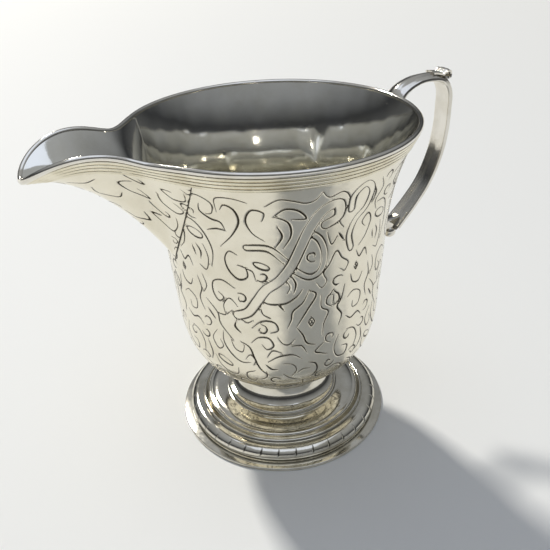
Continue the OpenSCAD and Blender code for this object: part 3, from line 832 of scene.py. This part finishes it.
def engrave_spout(places):
    """Open scrolls on each cheek; x is down from the lip, t from the keel."""
    p = Plate(places)
    cuts(p,
         (0.4, (7.4, 30.4), (10.2, 27.8), (9.8, 24.0), (7.2, 23.8), (7.4, 26.2)),
         (0.4, (9.0, 20.4), (12.0, 18.2), (15.0, 20.0), (14.2, 23.2), (11.6, 22.6)),
         (0.35, (8.0, 16.6), (9.5, 12.8), (12.5, 12.0), (12.8, 14.8), (10.8, 15.2)),
         (0.4, (17.0, 17.4), (20.0, 15.0), (21.8, 11.4), (19.4, 9.6), (17.4, 12.0)),
         (0.3, (14.0, 9.2), (16.2, 6.6), (14.2, 4.0), (11.5, 5.4)),
         (0.35, (21.0, 7.4), (24.2, 6.0), (25.2, 3.2), (22.6, 2.4)),
         (0.3, (17.4, 23.0), (20.2, 20.4), (23.0, 18.8)),
         (0.3, (8.2, 9.6), (9.2, 6.4), (7.4, 4.2)))
    fill(p, (6.5, 1.0), (30, 34), 1.9)
    return p


rows, columns = spout_down + 1, spout_across + 1
grid = points_of(spout).reshape(rows, columns, 3)
ribs = np.concatenate([np.zeros((rows, 1)),
                       np.cumsum(np.linalg.norm(np.diff(grid, axis=1), axis=2), axis=1)], axis=1)
from_keel = np.abs(ribs - ribs[:, columns // 2][:, None])
from_lip = np.concatenate([np.zeros((1, columns)),
                           np.cumsum(np.linalg.norm(np.diff(grid, axis=0), axis=2), axis=0)])
from_seam = (ribs[:, -1:] / 2 - from_keel).ravel()
down = np.repeat(np.linspace(0, 1, rows), columns)


def engrave_cheeks(places):
    """The spout's engraving, with the solder line along both its edges."""
    p = engrave_spout(places)
    p.keep(np.arange(len(from_seam)), from_seam, seam_gap(down))
    return p


keep_cuts(spout, np.stack([from_lip.ravel(), from_keel.ravel()], axis=1), engrave_cheeks)
lining = bent("spout_lining", lambda u, v: spout_inside(2 * u - 1, v), spout_across, spout_down)
leave_plain(lining)
only(lining)
spout.select_set(True)
bpy.context.view_layer.objects.active = spout
bpy.ops.object.join()
bpy.ops.object.mode_set(mode="EDIT")
bpy.ops.mesh.select_mode(type="EDGE")
bpy.ops.mesh.select_all(action="DESELECT")
bpy.ops.mesh.select_non_manifold(extend=False)
bpy.ops.mesh.bridge_edge_loops()
bpy.ops.object.mode_set(mode="OBJECT")
clean(spout, 0.002)
done(spout, "spout", slot="body_silver", look=raised, crease=40)
# the outside's faces come first, and the lining's and the edge's are burnished
spout.data.materials.append(burnished)
lined = np.zeros(len(spout.data.polygons), np.int32)
lined[spout_across * spout_down:] = 1
spout.data.polygons.foreach_set("material_index", lined)

# %% [markdown]
# ## The rim
# A round wire is soldered along the edge of body and spout in one run, which stiffens
# the rim and gives the lip its bright line. Under it runs a strip of fine reeds. Both
# follow the same frame: outwards from the sheet, and up along it. So a cross-section is
# carried along that frame, round the rim and then along the lip and back.


# %% Frames along the rim and the lip
def rim_frames(count):
    """Point, outward and upward directions round the body's rim, from seam to seam."""
    a = np.linspace(math.pi + spout_half, 3 * math.pi - spout_half, count)
    radial = np.stack([np.cos(a), np.sin(a), np.zeros(count)], axis=1)
    upward = np.array([0, 0, 1.0])
    p = radial * edge_r + upward * edge_h
    out = radial * math.cos(rim_lean) - upward * math.sin(rim_lean)
    up = radial * math.sin(rim_lean) + upward * math.cos(rim_lean)
    return p, out, up


def lip_frames(count):
    """The same along the lip, from the +y seam over the tip to the -y seam."""
    w = np.linspace(1, -1, count)
    p = spout_face(w, np.zeros(count))
    out = spout_normal(w, np.zeros(count))
    along = unit(np.gradient(p, axis=0))
    down = unit(spout_face(w, np.full(count, 0.03)) - p)
    up = -unit(down - np.sum(down * along, axis=1)[:, None] * along)
    return p, out, up


def frames_all(rim_count, lip_count, ease=5):
    """Rim then lip as one closed run, with the turn at each seam eased."""
    joined = [np.concatenate([a, b]) for a, b in zip(rim_frames(rim_count), lip_frames(lip_count))]
    total = len(joined[0])
    for k in range(3):
        for _ in range(ease):
            near = 0.5 * (np.roll(joined[k], 1, axis=0) + np.roll(joined[k], -1, axis=0))
            seam_at = [0, rim_count - 1, rim_count, total - 1]
            gap = np.min([np.minimum(abs(np.arange(total) - s), total - abs(np.arange(total) - s))
                          for s in seam_at], axis=0)
            share = np.clip(1 - gap / 5, 0, 1)[:, None]
            joined[k] = mix(joined[k], near, 0.5 * share)
    return joined[0], unit(joined[1]), unit(joined[2])


def carried(name, section, rim_count=300, lip_count=220):
    """A closed cross-section of outward and upward shares, carried round rim and lip."""
    p, out, up = frames_all(rim_count, lip_count)
    ring = np.concatenate([section, section[:1]])
    runs, turns = len(p), len(ring) - 1

    def place(u, v):
        i = np.round(u * turns).astype(int)
        j = np.round(v * runs).astype(int) % runs
        return p[j] + ring[i, 0, None] * out[j] + ring[i, 1, None] * up[j]

    obj = bent(name, place, turns, runs)
    clean(obj)
    return obj


# %% Rim wire
a = np.linspace(-math.asin(flat), math.pi + math.asin(flat), 22)
wire_section = np.stack([wire_r * np.cos(a) - wire_in, wire_r * (np.sin(a) + flat)], axis=1)
wire = carried("rim_wire_drawn", wire_section)
done(wire, "rim_wire", slot="trim_silver", look=wired, crease=50)

# %% Reeding
pitch = reed_w / reed_count
a = np.radians(np.arange(-90, 91, 18))
reeds = [np.stack([reed_t * (0.3 + 0.7 * np.cos(a)),
                   pitch * (-k - 0.5 + 0.46 * np.sin(a))], axis=1) for k in reversed(range(reed_count))]
reed_section = np.concatenate([[[-0.05, 0], [-0.05, -reed_w]]] + reeds)
reeding = carried("reeded_strip", reed_section)
done(reeding, "rim_reeding", "lip_reeding", slot="trim_silver", look=rolled, crease=60)

# %% [markdown]
# ## The foot
# The foot is three pieces of turned silver: a waisted neck that spreads into a stepped
# dome, a half-round moulding with little nicks struck into it, and the flat ring that
# stands on the table. Turned work is spun here too, from outlines with soft corners, so
# that every edge catches a line of light.

# %% Foot sizes
base_r, base_t, moulding_r, moulding_h = 30.8, 0.9, 28.6, 5.5
dome_r, dome_h, step_r, step_h, neck_r = 23.0, 6.2, 16.4, 7.6, 11.9
base_top = base_t + 0.5
spun_r = 0.7
quarter = np.linspace(0, math.pi / 2, 9)


def corner(r, h, size, angles=quarter):
    """A rounded outer corner whose highest point is at height h."""
    return np.stack([r - size * (1 - np.cos(angles)), h - size * (1 - np.sin(angles))], axis=1)


# %% Foot dome
neck = bezier([(step_r - 0.9, step_h + 0.6), (neck_r + 0.6, step_h + 1.2),
               (neck_r - 0.6, mix(step_h, seat[1], 0.62)), seat], np.linspace(0, 1, 40))
groove_at = mix(step_r, dome_r, 0.5)
dome_line = np.concatenate([
    [[dome_r, base_top]], corner(dome_r, dome_h, spun_r),
    bezier([(dome_r - 1.2, dome_h + 0.02), (groove_at, mix(step_h, dome_h, 0.2)),
            (step_r + 0.5, step_h - 1.2), (step_r + 0.1, step_h - spun_r)], np.linspace(0, 1, 18)),
    corner(step_r, step_h + spun_r, spun_r)[1:], neck])
dome_inside = shifted(even(dome_line, 60), wall)[::-1]
dome = spun("spun_dome", np.concatenate([even(dome_line, 150), dome_inside, dome_line[:1]]), 240)
leave_plain(dome)
done(dome, "foot_dome", slot="foot_silver", look=turned, crease=40)

# %% Moulding
half_round = np.radians(np.arange(-50, 91, 5))
thread = np.radians(np.arange(0, 181, 15))
moulding_line = np.concatenate([
    [[dome_r, base_top], [moulding_r - 1.2, base_top]],
    np.stack([moulding_r - 2.6 + 2.6 * np.cos(half_round),
              moulding_h - 2.7 + 2.2 * np.sin(half_round)], axis=1),
    [[dome_r + 1.7, moulding_h - 0.75]],
    np.stack([dome_r + 1.1 + 0.45 * np.cos(thread),
              moulding_h - 0.55 + 0.45 * np.sin(thread)], axis=1),
    [[dome_r, moulding_h - 0.95], [dome_r, base_top]]])
moulding = spun("nicked_moulding", moulding_line, 720)
nick_count = 36


def engrave_moulding(places):
    """A short slanting nick at even steps, over the top of the moulding."""
    s, h = places.T
    step = 2 * math.pi * moulding_r / nick_count
    p = Plate(np.stack([(s + step / 2) % step - step / 2, h], axis=1))
    p.line(np.array([(-0.2, moulding_h - 2.2), (0.0, moulding_h - 1.6), (0.15, moulding_h - 1.0)]),
           0.34, 0.1)
    return p


xyz = points_of(moulding)
round_s = np.arctan2(xyz[:, 1], xyz[:, 0]) * moulding_r
top = np.flatnonzero(np.hypot(xyz[:, 0], xyz[:, 1]) > moulding_r - 1.9)
keep_cuts(moulding, np.stack([round_s[top], xyz[top, 2]], axis=1), engrave_moulding, top)
done(moulding, "foot_moulding", slot="foot_silver", look=turned, crease=50)

# %% Base ring
lip_edge = corner(base_r, base_t, 0.25)
ring_line = np.concatenate([[[dome_r - 2.4, 0.15], [dome_r - 2.25, 0], [base_r - 0.15, 0], [base_r, 0.15]],
                            lip_edge, [[moulding_r - 0.9, base_top], [dome_r - 2.4, base_top],
                                       [dome_r - 2.4, 0.15]]])
ring = spun("standing_ring", ring_line, 360)
leave_plain(ring)
done(ring, "base_ring", slot="foot_silver", look=turned, crease=35)

# %% [markdown]
# ## The handle
# The handle is a forged strap: flat inside, where the finger goes, with a spine along
# the outside that splits the light in two. It leaves the rim broad, rises into a sharp
# shoulder under a rolled leaf, sweeps round in a C and ends in a collar and a bead.
# The strap is one cross-section carried along one curve, growing and shrinking on the way.

# %% Strap
strap_w, root_w, strap_t, end_flare = 6.0, 7.6, 2.6, 0.8
strap_end = np.array([39.4, 50.2])
pad_h = rim_h - 3.2
pad_x = body_r(pad_h) + reed_t
strap_x = handle_reach - strap_t / 2
strap_shape = [(0, 0), (0.13, -0.1), (0.36, -0.155), (0.62, -0.165), (0.86, -0.135),
               (0.985, -0.04), (1, 0.11), (0.99, 0.26), (0.915, 0.46), (0.74, 0.67), (0.49, 0.84)]
strap_line = np.array([(mix(pad_x, strap_x, a), mix(pad_h, strap_end[1], b))
                       for a, b in strap_shape] + [tuple(strap_end)])


def strap_at(t):
    return through(strap_line, t)


def strap_out(t, h=0.01):
    """Outward direction of the strap, in the upright plane through the handle."""
    d = unit(strap_at(np.clip(t + h, 0, 1)) - strap_at(np.clip(t - h, 0, 1)))
    return np.stack([-d[..., 1], d[..., 0]], axis=-1)


def strap_size(t):
    width = strap_w + (root_w - strap_w) * np.clip(1 - t / 0.25, 0, 1) ** 1.5
    width = width + end_flare * (np.clip(t - 0.8, 0, 1) / 0.2) ** 2
    return width, strap_t * (1 - 0.3 * np.sin(math.pi * np.minimum(t / 0.45, 1)) ** 2)


strap_ring = even([(-0.5, -0.32), (-0.49, -0.42), (-0.44, -0.49), (0, -0.42), (0.44, -0.49),
                   (0.49, -0.42), (0.5, -0.32), (0.475, 0.0), (0.3, 0.27), (0.16, 0.38),
                   (0.07, 0.48), (0, 0.5), (-0.07, 0.48), (-0.16, 0.38), (-0.3, 0.27),
                   (-0.475, 0.0), (-0.5, -0.32)], 57)


def strap_place(u, v):
    i = np.round(u * 56).astype(int)
    p, out = strap_at(v), strap_out(v)
    width, depth = strap_size(v)
    q = strap_ring[i]
    return np.stack([p[:, 0] + out[:, 0] * q[:, 1] * depth, q[:, 0] * width,
                     p[:, 1] + out[:, 1] * q[:, 1] * depth], axis=1)


strap = bent("forged_strap", strap_place, 56, 260)
clean(strap)
close_ends(strap)
done(strap, "handle_strap", slot="trim_silver", look=cast, crease=30)

# %% Thumb leaf
# A flat leaf is bent along the strap's shoulder and its tip is rolled up into a scroll.
roll_middle = strap_at(np.array(0.37)) + [0.9, 1.15]


def leaf_line(v):
    """Centre line of the leaf: along the strap, then round into the roll."""
    run = strap_at(np.linspace(0.29, 0.345, 12)) + strap_out(np.linspace(0.29, 0.345, 12)) * 1.05
    a = np.radians(np.linspace(100, -330, 40))
    r = np.linspace(1.25, 0.3, 40)
    roll = roll_middle + np.stack([r * np.cos(a), r * np.sin(a)], axis=1)
    return through(even(np.concatenate([run, roll]), 40), v)


def leaf_place(u, v, lift=0.0):
    p = leaf_line(v)
    d = unit(leaf_line(np.clip(v + 0.01, 0, 1)) - leaf_line(np.clip(v - 0.01, 0, 1)))
    out = np.stack([-d[:, 1], d[:, 0]], axis=1)
    across = 2 * u - 1
    half = 2.35 * (0.35 + 0.65 * np.sin(math.pi * np.clip(v * 0.9 + 0.12, 0, 1)) ** 0.6)
    half = half * (1 + 0.10 * np.cos(v * 26))
    vein = 0.16 * np.abs(np.sin(across * math.pi * 1.5)) - 0.25 * across ** 2
    h = lift + vein
    return np.stack([p[:, 0] + out[:, 0] * h, across * half, p[:, 1] + out[:, 1] * h], axis=1)


thumb = bent("thumb_leaf", leaf_place, 36, 120)
only(thumb)
thick = thumb.modifiers.new("thick", "SOLIDIFY")
thick.thickness = 0.5 * MM
thick.offset = 0
bpy.ops.object.modifier_apply(modifier="thick")
clean(thumb)
done(thumb, "thumb_scroll", slot="trim_silver", look=cast, crease=45)

# %% Root pad, bracket, collar and bead
end_out = strap_out(np.array([1.0]))[0]
end_dir = np.array([end_out[1], -end_out[0]])
end_turn = math.atan2(end_dir[0], end_dir[1])
collar_t, bead_r = 0.7, 2.0


def softened(obj, width, segments=3):
    """Rounds the edges of a primitive and puts its place into its mesh."""
    only(obj)
    bpy.ops.object.transform_apply(location=True, rotation=True, scale=True)
    edge = obj.modifiers.new("edge", "BEVEL")
    edge.width = width * MM
    edge.segments = segments
    bpy.ops.object.modifier_apply(modifier="edge")
    return obj


def from_end(distance):
    """A place beyond the strap's lower end, in metres."""
    x, z = strap_end + end_dir * distance
    return (x * MM, 0, z * MM)


bpy.ops.mesh.primitive_cylinder_add(vertices=64, radius=1.75 * MM, depth=collar_t * MM,
                                    location=from_end(collar_t / 2), rotation=(0, end_turn, 0))
collar = softened(bpy.context.active_object, 0.12)
collar.name = "collar"
done(collar, "terminal_collar", slot="collar_dark", look=soldered)

bpy.ops.mesh.primitive_uv_sphere_add(segments=64, ring_count=40, radius=bead_r * MM,
                                     location=from_end(collar_t + bead_r * 0.72),
                                     rotation=(0, end_turn, 0))
bead = bpy.context.active_object
bead.name = "bead"
bpy.ops.object.transform_apply(location=True, rotation=True, scale=True)
bpy.ops.object.mode_set(mode="EDIT")
bpy.ops.mesh.select_all(action="SELECT")
bpy.ops.mesh.bisect(plane_co=from_end(collar_t), plane_no=(end_dir[0], 0, end_dir[1]),
                    use_fill=True, clear_inner=True)
bpy.ops.object.mode_set(mode="OBJECT")
done(bead, "terminal_bead", slot="trim_silver", look=cast)


def joint_plate(name, node, look, bevel):
    """A casting that keeps the model's own shape, with its sharp edges broken."""
    only(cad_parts[node])
    bpy.ops.object.duplicate()
    obj = bpy.context.active_object
    obj.name = obj.data.name = name
    for key in list(obj.keys()):
        del obj[key]
    obj.parent = None
    clean(obj)
    only(obj)
    edge = obj.modifiers.new("edge", "BEVEL")
    edge.width = bevel * MM
    edge.segments = 3
    edge.limit_method = "ANGLE"
    bpy.ops.object.modifier_apply(modifier="edge")
    return done(obj, node, slot="trim_silver", look=look)


joint_plate("rim_plate", "handle_root_pad", cast, 0.15)
joint_plate("lower_bracket", "handle_bracket", cast, 0.3)

# %% [markdown]
# ## Table and light
# Silver shows its surroundings more than itself, so the room is half of its finish. The
# jug stands on a plain pale table. A window is high behind its left shoulder, the rest
# of the room is dim near the horizon, and that dim band draws the dark edges on rim,
# wire and foot.

# %% Table
bpy.ops.mesh.primitive_plane_add(size=4, location=(0, 0, 0))
table_top = bpy.context.active_object
table_top.name = "table_top"
paper = bpy.data.materials.new("pale_table")
paper.use_nodes = True
paper.node_tree.nodes["Principled BSDF"].inputs["Base Color"].default_value = to_linear("#EDEDEA")
paper.node_tree.nodes["Principled BSDF"].inputs["Roughness"].default_value = 0.7
table_top.data.materials.append(paper)


# %% Lights
def panel_light(name, place, size, power, hex_colour, aim=(0, 0, 0.05)):
    """A soft rectangular light at a place in millimetres, aimed at the jug."""
    at = turn @ Vector(place) * MM
    bpy.ops.object.light_add(type="AREA", location=at)
    lamp = bpy.context.active_object
    lamp.name = name
    lamp.rotation_euler = (Vector(aim) - at).to_track_quat("-Z", "Y").to_euler()
    lamp.data.shape = "RECTANGLE"
    lamp.data.size, lamp.data.size_y = size[0] * MM, size[1] * MM
    lamp.data.energy = power
    lamp.data.color = to_linear(hex_colour)[:3]
    return lamp


panel_light("window", (-2400, 4156, 4320), (680, 680), 352, "#FFFCF6")
panel_light("ceiling", (0, -200, 1500), (1400, 1400), 4.0, "#DCE7FF")

# %% Room
world = bpy.data.worlds.new("room")
bpy.context.scene.world = world
world.use_nodes = True
room = world.node_tree
ray = add(room, "ShaderNodeTexCoord").outputs["Generated"]
parts = add(room, "ShaderNodeSeparateXYZ", {}, {"Vector": ray})
height_in_room = add(room, "ShaderNodeMapRange", {"From Min": 0.0, "From Max": 0.8},
                     {"Value": parts.outputs["Z"]})
ramp = add(room, "ShaderNodeValToRGB", {}, {"Fac": height_in_room.outputs["Result"]})
steps = ramp.color_ramp.elements
steps[0].position, steps[0].color = 0.0, to_linear("#8C8E90")
steps[1].position, steps[1].color = 1.0, to_linear("#E9EDF2")
middle = steps.new(0.3)
middle.color = to_linear("#4E5054")
high = steps.new(0.6)
high.color = to_linear("#B9BDC2")
room.links.new(ramp.outputs["Color"], room.nodes["Background"].inputs["Color"])
room.nodes["Background"].inputs["Strength"].default_value = 0.42
bpy.context.scene.view_settings.view_transform = "Standard"
